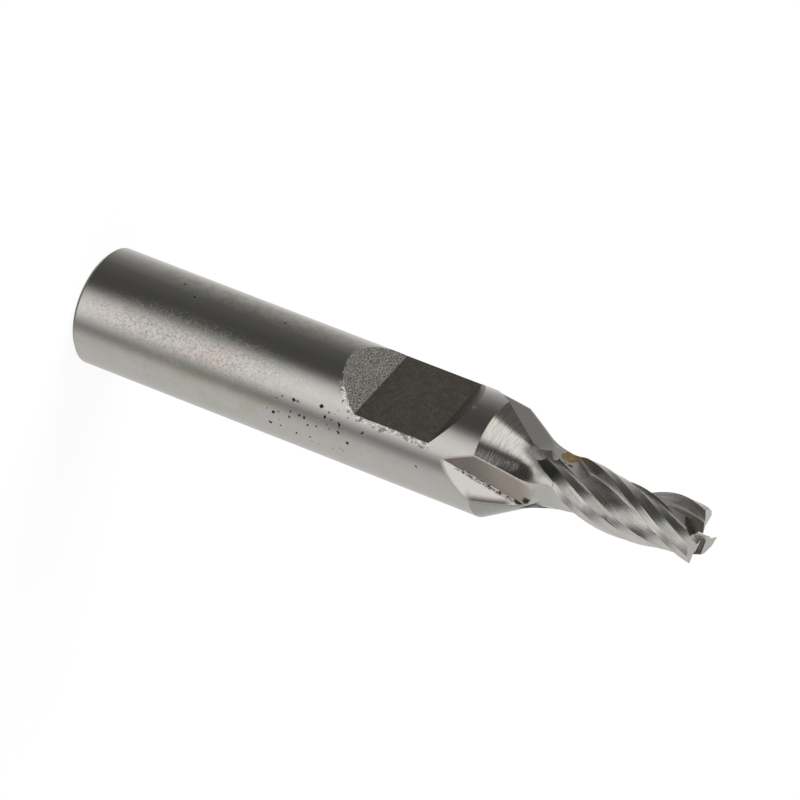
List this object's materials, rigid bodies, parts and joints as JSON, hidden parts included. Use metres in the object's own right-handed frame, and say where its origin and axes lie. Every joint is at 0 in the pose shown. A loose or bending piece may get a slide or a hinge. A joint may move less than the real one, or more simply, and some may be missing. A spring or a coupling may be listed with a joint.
{
  "type": "end mill",
  "caption": "Slim end mill with right-hand helical flutes and a square cutting end, a conical shoulder and a thicker plain shank with a clamping flat.",
  "frame": {"origin": "centre of the shank end face, which the tool stands on", "axes": "+Z along the tool's axis, from the shank end to the cutting end; -Y is the clamping flat's outward normal"},
  "size_m": [0.006, 0.006, 0.0342],
  "materials": {
    "tool_steel": "ground tool steel with light stains, a dull clamping flat and a bright turned shoulder"
  },
  "bodies": {
    "root": {"end_mill": "tool_steel"}
  },
  "joints": []
}
